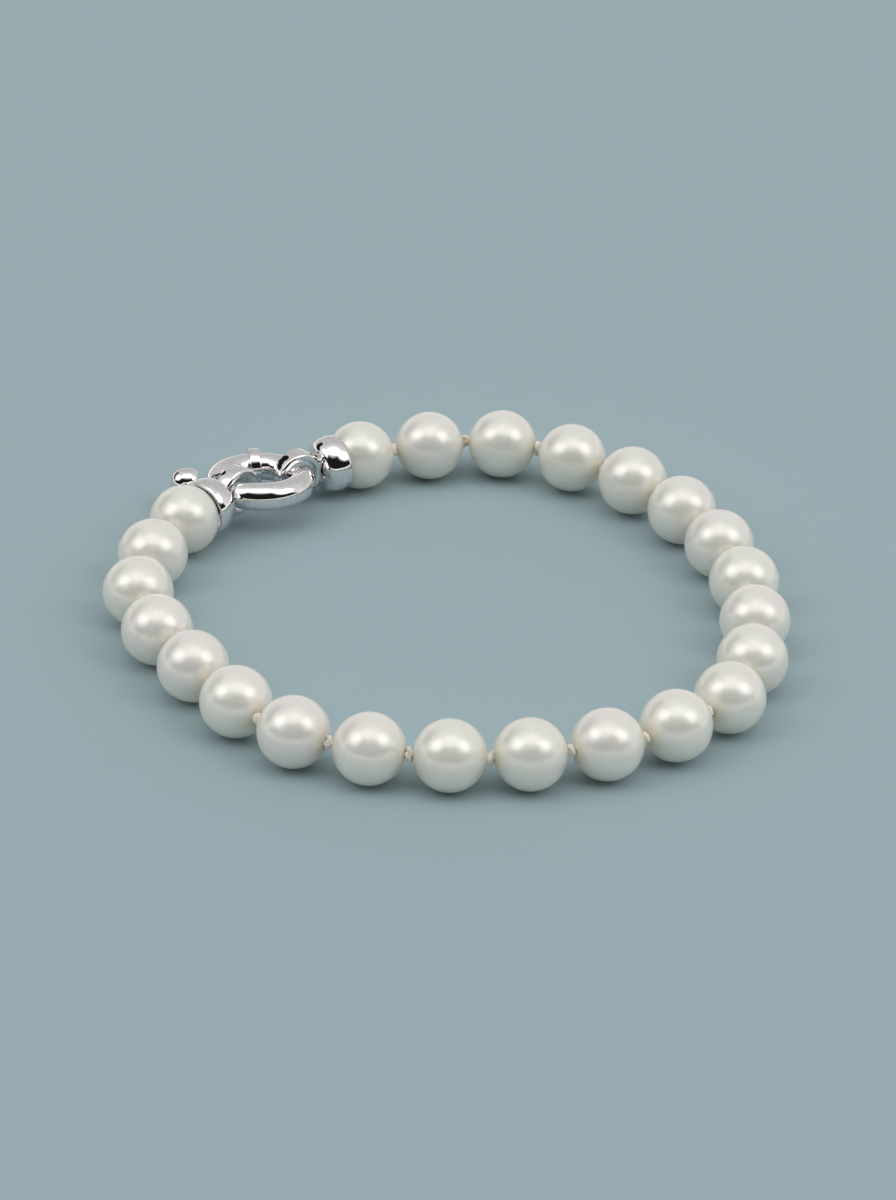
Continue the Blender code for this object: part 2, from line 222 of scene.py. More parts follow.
def frame_at(origin: Vector, x_axis: Vector, z_axis: Vector) -> Matrix:
    """Works out a local frame from its place and two of its axes.

    Args:
        origin: its middle.
        x_axis: the way that its X axis points, as nearly as its Z axis lets it.
        z_axis: the way that its Z axis points.

    Returns:
        The frame's matrix.
    """
    z_unit = z_axis.normalized()
    x_unit = (x_axis - z_unit * x_axis.dot(z_unit)).normalized()
    turn = Matrix((x_unit, z_unit.cross(x_unit), z_unit)).transposed().to_4x4()
    return Matrix.Translation(origin) @ turn


# Profiles


def arc(centre: Point2, radius: float, start: float, end: float, steps: int) -> list[Point2]:
    """Lists the points of an arc in a profile.

    Args:
        centre: its middle, as radius and height.
        radius: its own radius.
        start: the first angle in degrees, 0 outwards and 90 up.
        end: the last angle in degrees.
        steps: the number of straight pieces.

    Returns:
        The points from start to end.
    """
    angles = [math.radians(start + (end - start) * i / steps) for i in range(steps + 1)]
    return [(centre[0] + radius * math.cos(a), centre[1] + radius * math.sin(a)) for a in angles]


def flowing(points: list[Point2], steps: int) -> list[Point2]:
    """Draws a smooth line through the points of a profile.

    Args:
        points: the line's own points.
        steps: the number of straight pieces between two of them.

    Returns:
        The finer line, with both ends kept.
    """
    spots = [Vector(point) for point in points]
    spots = [spots[0] * 2 - spots[1]] + spots + [spots[-1] * 2 - spots[-2]]
    line: list[Point2] = []
    for before, start, end, after in zip(spots, spots[1:], spots[2:], spots[3:]):
        for step in range(steps):
            t = step / steps
            spot = 0.5 * (2 * start + (end - before) * t
                          + (2 * before - 5 * start + 4 * end - after) * t ** 2
                          + (3 * start - before - 3 * end + after) * t ** 3)
            line.append((spot.x, spot.y))
    return line + [points[-1]]


def turned(name: str, profile: list[Point2], steps: int, closed: bool = False) -> Object:
    """Draws a profile point by point and spins it about the Z axis, as on a lathe.

    Args:
        name: the object's name.
        profile: radius and height of each point.
        steps: the number of copies round the axis.
        closed: whether the profile's end meets its start.

    Returns:
        The turned object, with its axis on the world's Z axis.
    """
    bpy.ops.mesh.primitive_plane_add(size=MM)
    item = bpy.context.object
    item.name = name
    item.data.name = name
    with editing(item):
        bpy.ops.mesh.merge(type="CENTER")
        bpy.ops.transform.translate(value=(profile[0][0], 0, profile[0][1]))
        for before, after in zip(profile, profile[1:] + profile[:1] * closed):
            step = (after[0] - before[0], 0, after[1] - before[1])
            bpy.ops.mesh.extrude_vertices_move(TRANSFORM_OT_translate={"value": step})
        bpy.ops.mesh.select_all(action="SELECT")
        bpy.ops.mesh.remove_doubles(threshold=MERGE)
        bpy.ops.mesh.select_all(action="SELECT")
        bpy.ops.mesh.spin(steps=steps, angle=TURN, center=(0, 0, 0), axis=(0, 0, 1))
        tidy_surface()
    return item


def tidy_surface() -> None:
    """Closes the seam and poles of the mesh that is being edited and points its faces outwards."""
    bpy.ops.mesh.select_all(action="SELECT")
    bpy.ops.mesh.remove_doubles(threshold=MERGE)
    bpy.ops.mesh.normals_make_consistent(inside=False)


# Finishes


def linear(code: str) -> Colour:
    """Turns a colour in sRGB hex into the linear values that a shader takes.

    Args:
        code: six hex digits after a hash sign.

    Returns:
        Red, green, blue and an alpha of 1.
    """
    parts = [int(code[i:i + 2], 16) / 255 for i in (1, 3, 5)]
    red, green, blue = (p / 12.92 if p <= 0.04045 else ((p + 0.055) / 1.055) ** 2.4 for p in parts)
    return (red, green, blue, 1.0)


def first_output(source: Source) -> NodeSocket:
    """Gives a node's first output, or an output as it is."""
    return source.outputs[0] if isinstance(source, Node) else source


def add_node(tree: NodeTree, kind: str, settings: Settings | None = None,
             links: Links | None = None, stops: Iterable[tuple[float, Colour]] = ()) -> Node:
    """Adds one node with its settings and its links.

    Args:
        tree: the node tree.
        kind: Blender's name of the node's type.
        settings: values by an input's name or number, or by a property's name.
        links: what feeds its inputs, by name or number. A node stands for its first output.
        stops: a colour ramp's places and colours, in order.

    Returns:
        The new node.
    """
    node = tree.nodes.new(kind)
    for key, value in (settings or {}).items():
        if isinstance(key, int) or key in node.inputs:
            node.inputs[key].default_value = value
        else:
            setattr(node, key, value)
    for key, source in (links or {}).items():
        tree.links.new(first_output(source), node.inputs[key])
    for index, (place, colour) in enumerate(stops):
        bar = node.color_ramp.elements
        stop = bar[index] if index < len(bar) else bar.new(place)
        stop.position, stop.color = place, colour
    return node


def noise(tree: NodeTree, place: Source, grain: float, detail: float = 2.0) -> Node:
    """Adds a noise whose patches are a real size across.

    Args:
        tree: the node tree.
        place: the coordinates that it reads.
        grain: the size of a patch in metres.
        detail: the number of finer layers.

    Returns:
        The noise, with its value as the first output.
    """
    settings = {"Scale": 1 / grain, "Detail": detail, "Roughness": 0.5}
    return add_node(tree, "ShaderNodeTexNoise", settings, {"Vector": place})


def tinted(tree: NodeTree, value: Source, places: Iterable[float], *codes: str) -> Node:
    """Adds a colour ramp over a value.

    Args:
        tree: the node tree.
        value: what it follows, from 0 to 1.
        places: where the colours lie, in order.
        codes: the colours, in sRGB hex.

    Returns:
        The ramp's node.
    """
    stops = zip(places, map(linear, codes))
    return add_node(tree, "ShaderNodeValToRGB", links={"Fac": value}, stops=stops)


def spread(tree: NodeTree, value: Source, target: Point2) -> Node:
    """Turns a value from 0 to 1 into one between two limits."""
    limits = {"To Min": target[0], "To Max": target[1]}
    return add_node(tree, "ShaderNodeMapRange", limits, {"Value": value})


def bumps(tree: NodeTree, height: Source, strength: float, depth: float,
          under: Source | None = None) -> Node:
    """Adds fine bumps to a surface.

    Args:
        tree: the node tree.
        height: their height, from 0 to 1.
        strength: how far they tip the surface, from 0 to 1.
        depth: their full height in metres.
        under: coarser bumps that they lie on.

    Returns:
        The bumps' node.
    """
    links = {"Height": height} if under is None else {"Height": height, "Normal": under}
    return add_node(tree, "ShaderNodeBump", {"Strength": strength, "Distance": depth}, links)


def maths(tree: NodeTree, operation: str, *terms: Source | float) -> Node:
    """Adds one sum.

    Args:
        tree: the node tree.
        operation: Blender's name of the sum.
        terms: what it works on, in order.

    Returns:
        The sum's node.
    """
    numbers = {index: term for index, term in enumerate(terms) if isinstance(term, float)}
    others = {index: term for index, term in enumerate(terms) if not isinstance(term, float)}
    return add_node(tree, "ShaderNodeMath", {"operation": operation, **numbers}, others)


@dataclass(frozen=True)
class Surface:
    """A real material and how its surface was made."""

    name: str

    def start(self) -> tuple[NodeTree, Node]:
        """Makes the empty material.

        Returns:
            Its node tree and its Principled shader.
        """
        material = bpy.data.materials.new(self.name)
        material.use_nodes = True
        return material.node_tree, material.node_tree.nodes["Principled BSDF"]

    def complete(self, shader: Node, links: Links, values: Settings) -> Material:
        """Feeds the shader and sets what is the same all over the surface.

        Args:
            shader: the Principled shader.
            links: what feeds its inputs, by name.
            values: its constants, by name.

        Returns:
            The finished material.
        """
        for key, source in links.items():
            shader.id_data.links.new(first_output(source), shader.inputs[key])
        for key, value in values.items():
            shader.inputs[key].default_value = value
        return bpy.data.materials[self.name]

    def material(self) -> Material:
        """Makes the material; each surface has its own."""
        raise NotImplementedError


@dataclass(frozen=True)
class Finish(Surface):
    """A surface of the bracelet, which carries the name of a material slot of the record."""

    slot: Slot

    def dress(self, item: Object, body: Body, *nodes: str) -> None:
        """Gives a piece this finish, its body and the solids that it stands for.

        Args:
            item: the finished piece.
            body: the body that it rides on.
            nodes: the solids that it replaces.
        """
        material = bpy.data.materials.get(self.name) or self.material()
        item.data.materials.clear()
        item.data.materials.append(material)
        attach(item, body.value)
        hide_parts(*nodes)
        LOG.info("%s: %d faces, %s", item.name, len(item.data.polygons), self.name)


@dataclass(frozen=True)
class Nacre(Finish):
    """Cultured pearl nacre, grown in thin layers and tumbled to a soft polish.

    It gives the eye a milky body that light enters, and over it a bright but slightly blurred
    mirror, strong for something that isn't metal, with a breath of rose and green. Round the
    drill holes the colour turns creamier: painted shade and warm bounce light where the pearls
    meet the knots.
    """

    name: str = "cultured_nacre_polished"
    slot: Slot = Slot.PEARL
    body: str = "#FFF6EB"
    rose: str = "#FFF3EB"
    green: str = "#FDF7EA"
    # painted shade: this creamier colour round the drill holes stands in for shade and warm bounce
    # light
    painted_shade_cream: str = "#F9E8CA"
    glow: str = "#FFF3E2"
    tint_patch: float = 9 * MM
    tint_stops: tuple[float, float, float] = (0.34, 0.50, 0.66)
    cloud: float = 2.2 * MM
    cloud_shade: Point2 = (0.97, 1.01)
    polish: Point2 = (0.285, 0.33)
    skin: float = 0.9 * MM
    skin_depth: float = 0.02 * MM
    milk_depth: float = 3.6 * MM

    def material(self) -> Material:
        """Makes the nacre from its tints, its clouds, its painted hole shade and its fine skin.

        Returns:
            The nacre.
        """
        tree, shader = self.start()
        place = add_node(tree, "ShaderNodeTexCoord").outputs["Object"]
        tint = tinted(tree, noise(tree, place, self.tint_patch), self.tint_stops,
                      self.rose, self.body, self.green)
        clouds = noise(tree, place, self.cloud, 3.0)
        body = add_node(tree, "ShaderNodeVectorMath", {"operation": "SCALE"}, {
            0: tint,
            "Scale": spread(tree, clouds, self.cloud_shade),
        })
        # painted shade and warm bounce light round the drill holes, mixed into the base colour
        hole_shade = add_node(tree, "ShaderNodeAttribute", {"attribute_name": PearlStrand.PAINTED_SHADE})
        warm = add_node(tree, "ShaderNodeMix", {
            "data_type": "RGBA",
            "blend_type": "MIX",
            7: linear(self.painted_shade_cream),
        }, {0: hole_shade.outputs["Fac"], 6: body})
        return self.complete(shader, {
            "Base Color": warm.outputs[2],
            "Roughness": spread(tree, clouds, self.polish),
            "Normal": bumps(tree, noise(tree, place, self.skin), 0.12, self.skin_depth),
        }, {
            "Metallic": 0.2,
            "IOR": 1.66,
            "Subsurface Weight": 1.0,
            "Subsurface Radius": (1.0, 0.92, 0.80),
            "Subsurface Scale": self.milk_depth,
            "Coat Weight": 0.6,
            "Coat Roughness": 0.15,
            "Coat IOR": 1.8,
            "Sheen Weight": 0.45,
            "Sheen Roughness": 0.5,
            "Sheen Tint": linear(self.glow),
        })


@dataclass(frozen=True)
class BeadSilk(Finish):
    """Ivory bead silk, three plies twisted and knotted by hand.

    It gives the eye small matt cream lumps, warmer in patches, with a soft sheen from its fibres.
    """

    name: str = "bead_silk_twisted"
    slot: Slot = Slot.SILK
    light: str = "#FFFDF4"
    warm: str = "#FFF6E4"
    patch: float = 0.5 * MM
    patch_stops: Point2 = (0.30, 0.62)
    fibre: float = 0.03 * MM
    fibre_depth: float = 0.01 * MM

    def material(self) -> Material:
        """Makes the silk from its tint and its fine fibres.

        Returns:
            The silk.
        """
        tree, shader = self.start()
        place = add_node(tree, "ShaderNodeTexCoord").outputs["Object"]
        patches = noise(tree, place, self.patch)
        fibres = noise(tree, place, self.fibre, 3.0)
        return self.complete(shader, {
            "Base Color": tinted(tree, patches, self.patch_stops, self.warm, self.light),
            "Normal": bumps(tree, fibres, 0.5, self.fibre_depth),
        }, {
            "Roughness": 0.62,
            "IOR": 1.5,
            "Sheen Weight": 1.0,
            "Sheen Roughness": 0.5,
        })


@dataclass(frozen=True)
class RhodiumSilver(Finish):
    """Sterling silver, cast, buffed by hand and plated with rhodium.

    It gives the eye a cool white mirror with slow waves from the buffing and hairline scratches.
    """

    name: str = "rhodium_silver_buffed"
    slot: Slot = Slot.SILVER
    metal: str = "#F2EFEF"
    dull: str = "#E9E6E6"
    haze: float = 0.5 * MM
    haze_stops: Point2 = (0.35, 0.6)
    polish: Point2 = (0.03, 0.065)
    wave: float = 1.6 * MM
    wave_depth: float = 0.02 * MM
    scratch: float = 0.05 * MM
    scratch_depth: float = 0.004 * MM
    scratch_stretch: tuple[float, float, float] = (1.0, 0.12, 0.5)
    scratch_turn: tuple[float, float, float] = (0.3, 0.2, 0.9)

    def material(self) -> Material:
        """Makes the silver from its slow waves, its haze and its scratches.

        Returns:
            The silver.
        """
        tree, shader = self.start()
        place = add_node(tree, "ShaderNodeTexCoord").outputs["Object"]
        haze = noise(tree, place, self.haze, 3.0)
        waves = bumps(tree, noise(tree, place, self.wave, 0.0), 0.15, self.wave_depth)
        stretched = add_node(tree, "ShaderNodeMapping", {
            "Scale": self.scratch_stretch,
            "Rotation": self.scratch_turn,
        }, {"Vector": place})
        lines = noise(tree, stretched, self.scratch)
        return self.complete(shader, {
            "Base Color": tinted(tree, haze, self.haze_stops, self.dull, self.metal),
            "Roughness": spread(tree, haze, self.polish),
            "Normal": bumps(tree, lines, 0.04, self.scratch_depth, waves),
        }, {"Metallic": 1.0})


@dataclass(frozen=True)
class StudioPaper(Surface):
    """Uncoated paper off a roll, dyed a pale blue-grey.

    It gives the eye a plain matt ground, a little lighter and warmer where it is seen at a slant.
    """

    name: str = "matt_studio_paper"
    dye: str = "#A3B9BF"
    nap: str = "#FFF6F0"

    def material(self) -> Material:
        """Makes the paper, the same all over.

        Returns:
            The paper.
        """
        return self.complete(self.start()[1], {}, {
            "Base Color": linear(self.dye),
            "Roughness": 0.9,
            "Specular IOR Level": 0.2,
            "Sheen Weight": 0.9,
            "Sheen Roughness": 0.3,
            "Sheen Tint": linear(self.nap),
        })


# Layout


@dataclass
class ClaspPlan:
    """Where the ring and the caps lie, read from the frame's joint and its end pearls."""

    first: Vector
    last: Vector
    ring_radius: float = 4.34 * MM
    ring: Matrix = field(init=False)
    left_axis: Vector = field(init=False)
    right_axis: Vector = field(init=False)

    def __post_init__(self) -> None:
        """Works out the ring's frame and both caps' axes."""
        hinge = frame["joints"][0]
        centre, normal = Vector(hinge["pos_m"]), Vector(hinge["axis"])
        self.ring = frame_at(centre, self.last - self.first, normal)
        self.left_axis = self.axis_from(self.first)
        self.right_axis = self.axis_from(self.last)

    def axis_from(self, pearl: Vector) -> Vector:
        """Gives the direction from a pearl to the middle of the ring's tube nearest to it.

        Args:
            pearl: the pearl's centre.

        Returns:
            The direction, one unit long.
        """
        centre, normal = self.ring.translation, self.ring.col[2].to_3d()
        way = pearl - centre
        way -= normal * way.dot(normal)
        return (centre + way.normalized() * self.ring_radius - pearl).normalized()


@dataclass
class PearlStrand:
    """The drilled pearls and the silk through them."""

    # the attribute that carries the shade painted round the drill holes
    PAINTED_SHADE = "painted_hole_shade"

    count: int = 23
    radius: float = PEARL_RADIUS
    hole_radius: float = 0.31 * MM
    lip: float = 0.06 * MM
    lip_rows: tuple[Point2, ...] = (  # share of the lip's width, depth below the hole's edge
        (1.0, 0.012 * MM),
        (0.3, 0.035 * MM),
        (0.0, 0.09 * MM),
    )
    painted_shade_share: float = 0.95      # how strongly the painted shade turns the hole's edge creamy
    painted_shade_reach: float = 2.0 * MM  # where the painted shade ends
    meridians: int = 96
    rings: int = 64
    silk_radius: float = 0.28 * MM
    silk_sides: int = 18
    silk_crease: float = math.radians(60)
    plies: int = 3
    ply_depth: float = 0.20         # share of the silk's radius between two plies
    ply_lay: float = 0.9 * MM       # length of one twist
    knot_radius: float = 0.37 * MM
    knot_wander: float = 0.20 * MM  # how far the silk sways off that radius
    knot_turns: int = 2
    knot_sways: int = 3
    knot_ends: float = 0.14         # share of the knot that leads in, and out
    knot_steps: int = 72
    lead: float = 0.42 * MM         # from a hole's mouth to where the silk lies straight
    socket: float = 0.75 * MM       # reach into a cap, beyond the pearl
    nacre: Nacre = field(default_factory=Nacre)
    silk: BeadSilk = field(default_factory=BeadSilk)
    places: list[Vector] = field(init=False)
    axes: list[Vector] = field(init=False)

    def __post_init__(self) -> None:
        """Reads the pearls' centres from the frame."""
        corners = [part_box(self.node(i)) for i in range(self.count)]
        self.places = [(low + high) / 2 for low, high in corners]

    @staticmethod
    def node(index: int) -> str:
        """Names the solid of a pearl."""
        return f"pearl_{index + 1:02d}"

    def aim(self, plan: ClaspPlan) -> None:
        """Works out each pearl's drill axis, halfway between the ways to its neighbours.

        Args:
            plan: the clasp's places, which aim the two end pearls.
        """
        chords = [(b - a).normalized() for a, b in zip(self.places, self.places[1:])]
        arriving = Vector((*plan.left_axis.xy, 0)).normalized()
        leaving = Vector((*plan.right_axis.xy, 0)).normalized()
        ways = [-arriving] + chords + [leaving]
        self.axes = [(a + b).normalized() for a, b in zip(ways, ways[1:])]

    def build(self) -> None:
        """Builds and dresses every pearl and the silk."""
        model = self.drilled_ball()
        for index, (place, axis) in enumerate(zip(self.places, self.axes)):
            pearl = duplicate(model, f"nacre_{index + 1:02d}")
            roll = Matrix.Rotation(GOLDEN_TURN * index, 4, "Z")
            settle(pearl, frame_at(place, UP, axis) @ roll)
            self.nacre.dress(pearl, Body.BRACELET, self.node(index))
        bpy.data.objects.remove(model, do_unlink=True)
        self.silk.dress(self.cord(), Body.BRACELET, "silk_strand")

    def drilled_ball(self) -> Object:
        """Makes one pearl with its drill hole along Z and a soft lip at both ends of it.

        Returns:
            The pearl, with the shade painted round its drill holes as an attribute.
        """
        bpy.ops.mesh.primitive_uv_sphere_add(segments=self.meridians, ring_count=self.rings,
                                             radius=self.radius)
        ball = bpy.context.object
        lip_radius = self.hole_radius + self.lip
        with editing(ball):
            pick(ball, lambda spot: spot.xy.length < lip_radius)
            bpy.ops.mesh.delete(type="VERT")
            for end in (1, -1):
                self.sink_rim(ball, end)
            pick(ball, lambda spot: spot.xy.length < self.hole_radius + MERGE)
            bpy.ops.mesh.bridge_edge_loops()
            tidy_surface()
        smooth(ball)
        # painted shade: creamier towards each drill hole's edge, for the shade and warm bounce
        # light where pearl meets knot
        painted_shade_layer = ball.data.attributes.new(self.PAINTED_SHADE, "FLOAT", "POINT")
        for vertex, target in zip(ball.data.vertices, painted_shade_layer.data):
            away = (vertex.co.xy.length - self.hole_radius) / self.painted_shade_reach
            target.value = self.painted_shade_share * max(0.0, 1 - away) ** 2
        return ball

    def sink_rim(self, ball: Object, end: int) -> None:
        """Draws the open rim at one end of a pearl in to the drill hole's mouth and down it.

        Args:
            ball: the pearl in edit mode.
            end: 1 for the upper end and -1 for the lower one.
        """
        mesh = bmesh.from_edit_mesh(ball.data)
        rim = [v for v in mesh.verts if v.is_boundary and v.co.z * end > 0]
        radius, height = rim[0].co.xy.length, rim[0].co.z
        pick(ball, lambda spot: abs(spot.z - height) < MERGE)
        edge = math.sqrt(self.radius ** 2 - self.hole_radius ** 2)
        for share, depth in self.lip_rows:
            new_radius, new_height = self.hole_radius + share * self.lip, (edge - depth) * end
            move = (0, 0, new_height - height)
            bpy.ops.mesh.extrude_edges_move(TRANSFORM_OT_translate={"value": move})
            scale = new_radius / radius
            bpy.ops.transform.resize(value=(scale, scale, 1), center_override=(0, 0, new_height))
            radius, height = new_radius, new_height

    def knot_line(self, start: Vector, end: Vector, index: int) -> list[Vector]:
        """Lists the silk's way through one tight overhand knot.

        The silk winds twice round the string's axis while it sways in and out three times, as in
        a trefoil, and leads in and out along the axis.

        Args:
            start: the mouth of the drill hole behind the knot.
            end: the mouth of the drill hole before it.
            index: the knot's number, which turns it.

        Returns:
            The places from one mouth to the other.
        """
        way = end - start
        local = frame_at((start + end) / 2, UP, way)
        half = way.length / 2
        first = GOLDEN_TURN * index
        spots: list[Vector] = []
        for i in range(self.knot_steps + 1):
            t = i / self.knot_steps
            blend = min(1.0, t / self.knot_ends, (1 - t) / self.knot_ends)
            blend = blend * blend * (3 - 2 * blend)
            angle = first + self.knot_turns * TURN * t
            sway = self.knot_sways * TURN * t
            radius = blend * (self.knot_radius + self.knot_wander * math.cos(sway))
            along = blend * self.knot_wander * math.sin(sway)
            along += (1 - blend) * math.copysign(half, t - 0.5)
            spots.append(local @ (radial(angle) * radius + UP * along))
        return spots

    def cord_line(self) -> list[Vector]:
        """Lists the silk's places from one cap's socket to the other.

        Returns:
            The places in order.
        """
        mouth = math.sqrt(self.radius ** 2 - self.hole_radius ** 2)
        line = [self.places[0] - self.axes[0] * (self.radius + self.socket)]
        for index, (place, axis) in enumerate(zip(self.places, self.axes)):
            line += [place - axis * (mouth - self.lead), place + axis * (mouth - self.lead)]
            if index + 1 < self.count:
                after, after_axis = self.places[index + 1], self.axes[index + 1]
                line += self.knot_line(place + axis * mouth, after - after_axis * mouth, index)
        return line + [self.places[-1] + self.axes[-1] * (self.radius + self.socket)]

    def cord(self) -> Object:
        """Sweeps a three-ply section along the silk's way, twisting where it shows.

        Returns:
            The finished silk.
        """
        bpy.ops.curve.primitive_bezier_circle_add(radius=self.silk_radius)
        section = bpy.context.object
        section.data.splines.clear()
        outline = section.data.splines.new("POLY")
        outline.points.add(self.silk_sides - 1)
        outline.use_cyclic_u = True
        for i, point in enumerate(outline.points):
            angle = TURN * i / self.silk_sides
            valley = 0.5 - 0.5 * math.cos(self.plies * angle)
            point.co = (*(radial(angle) * self.silk_radius * (1 - self.ply_depth * valley)), 1)
        bpy.ops.curve.primitive_bezier_curve_add()
        cord = bpy.context.object
        cord.name = "knotted_silk"
        curve = cord.data
        curve.splines.clear()
        curve.bevel_mode = "OBJECT"
        curve.bevel_object = section
        curve.use_fill_caps = True
        line = self.cord_line()
        strand = curve.splines.new("POLY")
        strand.points.add(len(line) - 1)
        twist = 0.0
        for spot, before, point in zip(line, line[:1] + line, strand.points):
            step = (spot - before).length
            if step < self.silk_radius:
                twist += TURN * step / self.ply_lay
            point.co = (*spot, 1)
            point.tilt = twist
        activate(cord)
        bpy.ops.object.convert(target="MESH")
        cord = bpy.context.object
        bpy.data.objects.remove(section, do_unlink=True)
        with editing(cord):
            tidy_surface()
        smooth(cord, self.silk_crease)
        return cord


@dataclass
class Clasp:
    """The end caps, the bolt ring and its trigger."""

    plan: ClaspPlan
    cap_radius: float = 2.95 * MM
    seat_gap: float = 0.15 * MM
    rim_wall: float = 0.285 * MM
    rim_share: float = 0.965
    rim_round: float = 0.06 * MM
    groove: tuple[Point2, ...] = (  # distance inside the rim's edge, depth
        (0.19 * MM, 0.0),
        (0.175 * MM, 0.05 * MM),
        (0.145 * MM, 0.05 * MM),
        (0.13 * MM, 0.0),
    )
    cap_length: float = 2.8 * MM
    socket_radius: float = 1.1 * MM
    socket_depth: float = 0.9 * MM
    eye_neck: float = 0.4 * MM    # from the dome's top to the eye's hole
    eye_wall: float = 0.80 * MM
    eye_width: float = 1.8 * MM
    eye_edge: float = 0.30 * MM
    eye_step: float = 0.09 * MM
    eye_gap: float = 0.35 * MM    # round the ring's tube
    bore_reach: float = 3 * MM
    tube_radius: float = 1.4 * MM
    tube_wall: float = 0.4 * MM
    tube_round: float = 0.06 * MM
    bolt_radius: float = 0.7 * MM
    bolt_round: float = 0.12 * MM
    collar_width: float = 1.15 * MM
    collar_height: float = 0.5 * MM
    collar_edge: float = 0.13 * MM
    neck_radius: float = 0.35 * MM
    knob_radius: float = 1.45 * MM
    knob_length: float = 2.75 * MM
    knob_gap: float = 0.6 * MM    # off the tube
    slot_gap: float = 0.3 * MM    # beside the neck
    mouth: float = math.radians(158)
    lip: float = math.radians(204)
    collar_angle: float = math.radians(61)
    knob_angle: float = math.radians(143)
    bolt_entry: float = math.radians(8)  # past the lip
    bolt_tail: float = math.radians(20)  # behind the knob
    bolt_stroke: float = math.radians(52)
    silver: RhodiumSilver = field(default_factory=RhodiumSilver)
    lathe_steps: int = 128
    knob_steps: int = 96
    neck_steps: int = 48
    tube_grid: tuple[int, int] = (64, 200)  # sides, pieces
    bolt_grid: tuple[int, int] = (48, 72)
    slot_steps: int = 48

    def __post_init__(self) -> None:
        """Works out the sizes that follow from the others."""
        self.seat = PEARL_RADIUS + self.seat_gap
        rim_inner = self.cap_radius * self.rim_share - self.rim_wall
        self.setback = math.sqrt(self.seat ** 2 - rim_inner ** 2)
        self.cap_top = self.setback + self.cap_length
        self.eye_hole = self.tube_radius + self.eye_gap
        self.eye_distance = self.cap_top + self.eye_neck + self.eye_hole

    def build(self) -> None:
        """Builds and dresses every piece of the clasp."""
        left = self.cap("cap_left", self.plan.first, self.plan.left_axis)
        right = self.cap("cap_right", self.plan.last, self.plan.right_axis)
        self.silver.dress(left, Body.BRACELET, Side.LEFT.value)
        self.silver.dress(right, Body.BRACELET, Side.RIGHT.value)
        self.silver.dress(self.ring(), Body.BRACELET, "bolt_ring")
        self.silver.dress(self.trigger(), Body.BOLT, "bolt_trigger")

    def cup_profile(self) -> list[Point2]:
        """Gives the cup's line from its socket's floor over the seat, the rim and the dome.

        Returns:
            Radius and height of each point, from the pearl's centre.
        """
        floor = self.seat + self.socket_depth
        top = math.degrees(math.acos(self.socket_radius / self.seat))
        low = math.degrees(math.asin(self.setback / self.seat))
        line = [(0.0, floor), (self.socket_radius, floor)]
        line += arc((0.0, 0.0), self.seat, top, low, 14)
        rim = self.cap_radius * self.rim_share
        base = self.setback
        line += [(rim - inset, base + depth) for inset, depth in self.groove]
        line += arc((rim - self.rim_round, base + self.rim_round), self.rim_round, -90, 0, 5)
        dome = [  # share of the cup's length from the rim, share of its radius
            (0.06, 0.985),
            (0.27, 1.0),
            (0.56, 0.955),
            (0.78, 0.86),
            (0.90, 0.72),
            (0.965, 0.54),
            (1.0, 0.30),
        ]
        line += flowing([(self.cap_radius * share, base + self.cap_length * along)
                         for along, share in dome], 7)
        return line + [(0.0, self.cap_top)]

    def eye_profile(self) -> list[Point2]:
        """Gives the eye's closed section: a crowned band with a stepped face on both sides.

        Returns:
            Radius and height of each point, from the eye's own middle.
        """
        half = self.eye_width / 2
        hole = self.eye_hole
        outer = hole + self.eye_wall
        edge, step = self.eye_edge, self.eye_step
        upper = [(hole, 0.0), (hole, half - 3 * step)]
        upper += arc((hole + step, half - 3 * step), step, 180, 90, 5)
        upper += arc((hole + 2 * step, half - step), step / 3, 180, 90, 3)
        upper += [(hole + 3.2 * step, half - 0.67 * step)]
        upper += arc((hole + 3.6 * step, half - step / 3), step / 3, 180, 90, 3)
        upper += arc((outer - edge, half - edge), edge, 90, 12, 8)
        crown = [(outer, 0.0)]
        lower = [(r, -z) for r, z in reversed(upper[1:])]
        return upper + crown + lower

    def cap(self, name: str, pearl: Vector, axis: Vector) -> Object:
        """Makes one end cap with its eye, bored for the ring.

        Args:
            name: the piece's name.
            pearl: the centre of the pearl that it closes.
            axis: the way from the pearl to the ring's tube.

        Returns:
            The finished cap in its place.
        """
        cup = turned(name, self.cup_profile(), self.lathe_steps)
        across = Matrix.Translation((0, 0, self.eye_distance)) @ Matrix.Rotation(QUARTER, 4, "Y")
        eye = turned("eye", self.eye_profile(), self.lathe_steps, closed=True)
        settle(eye, across)
        bore = turned("bore", [
            (0.0, -self.bore_reach),
            (self.eye_hole, -self.bore_reach),
            (self.eye_hole, self.bore_reach),
            (0.0, self.bore_reach),
        ], self.lathe_steps)
        settle(bore, across)
        combine(cup, bore, "DIFFERENCE")
        combine(cup, eye, "UNION")
        settle(cup, frame_at(pearl, UP.cross(axis), axis))
        smooth(cup)
        return cup

    def spun(self, name: str, radius: float, start: float, sweep: float,
             grid: tuple[int, int]) -> Object:
        """Spins a round section about the ring's axis.

        Args:
            name: the object's name.
            radius: the section's radius.
            start: the first angle round the ring.
            sweep: the angle that it covers.
            grid: the section's number of sides, and the number of pieces along it.

        Returns:
            An open tube in the ring's own frame.
        """
        sides, steps = grid
        bpy.ops.mesh.primitive_circle_add(vertices=sides, radius=radius, rotation=(QUARTER, 0, 0))
        tube = bpy.context.object
        tube.name = name
        tube.data.name = name
        out = Matrix.Translation((self.plan.ring_radius, 0, 0))
        settle(tube, Matrix.Rotation(start, 4, "Z") @ out)
        with editing(tube):
            bpy.ops.mesh.spin(steps=steps, angle=-sweep, center=(0, 0, 0), axis=(0, 0, 1))
            tidy_surface()
        return tube

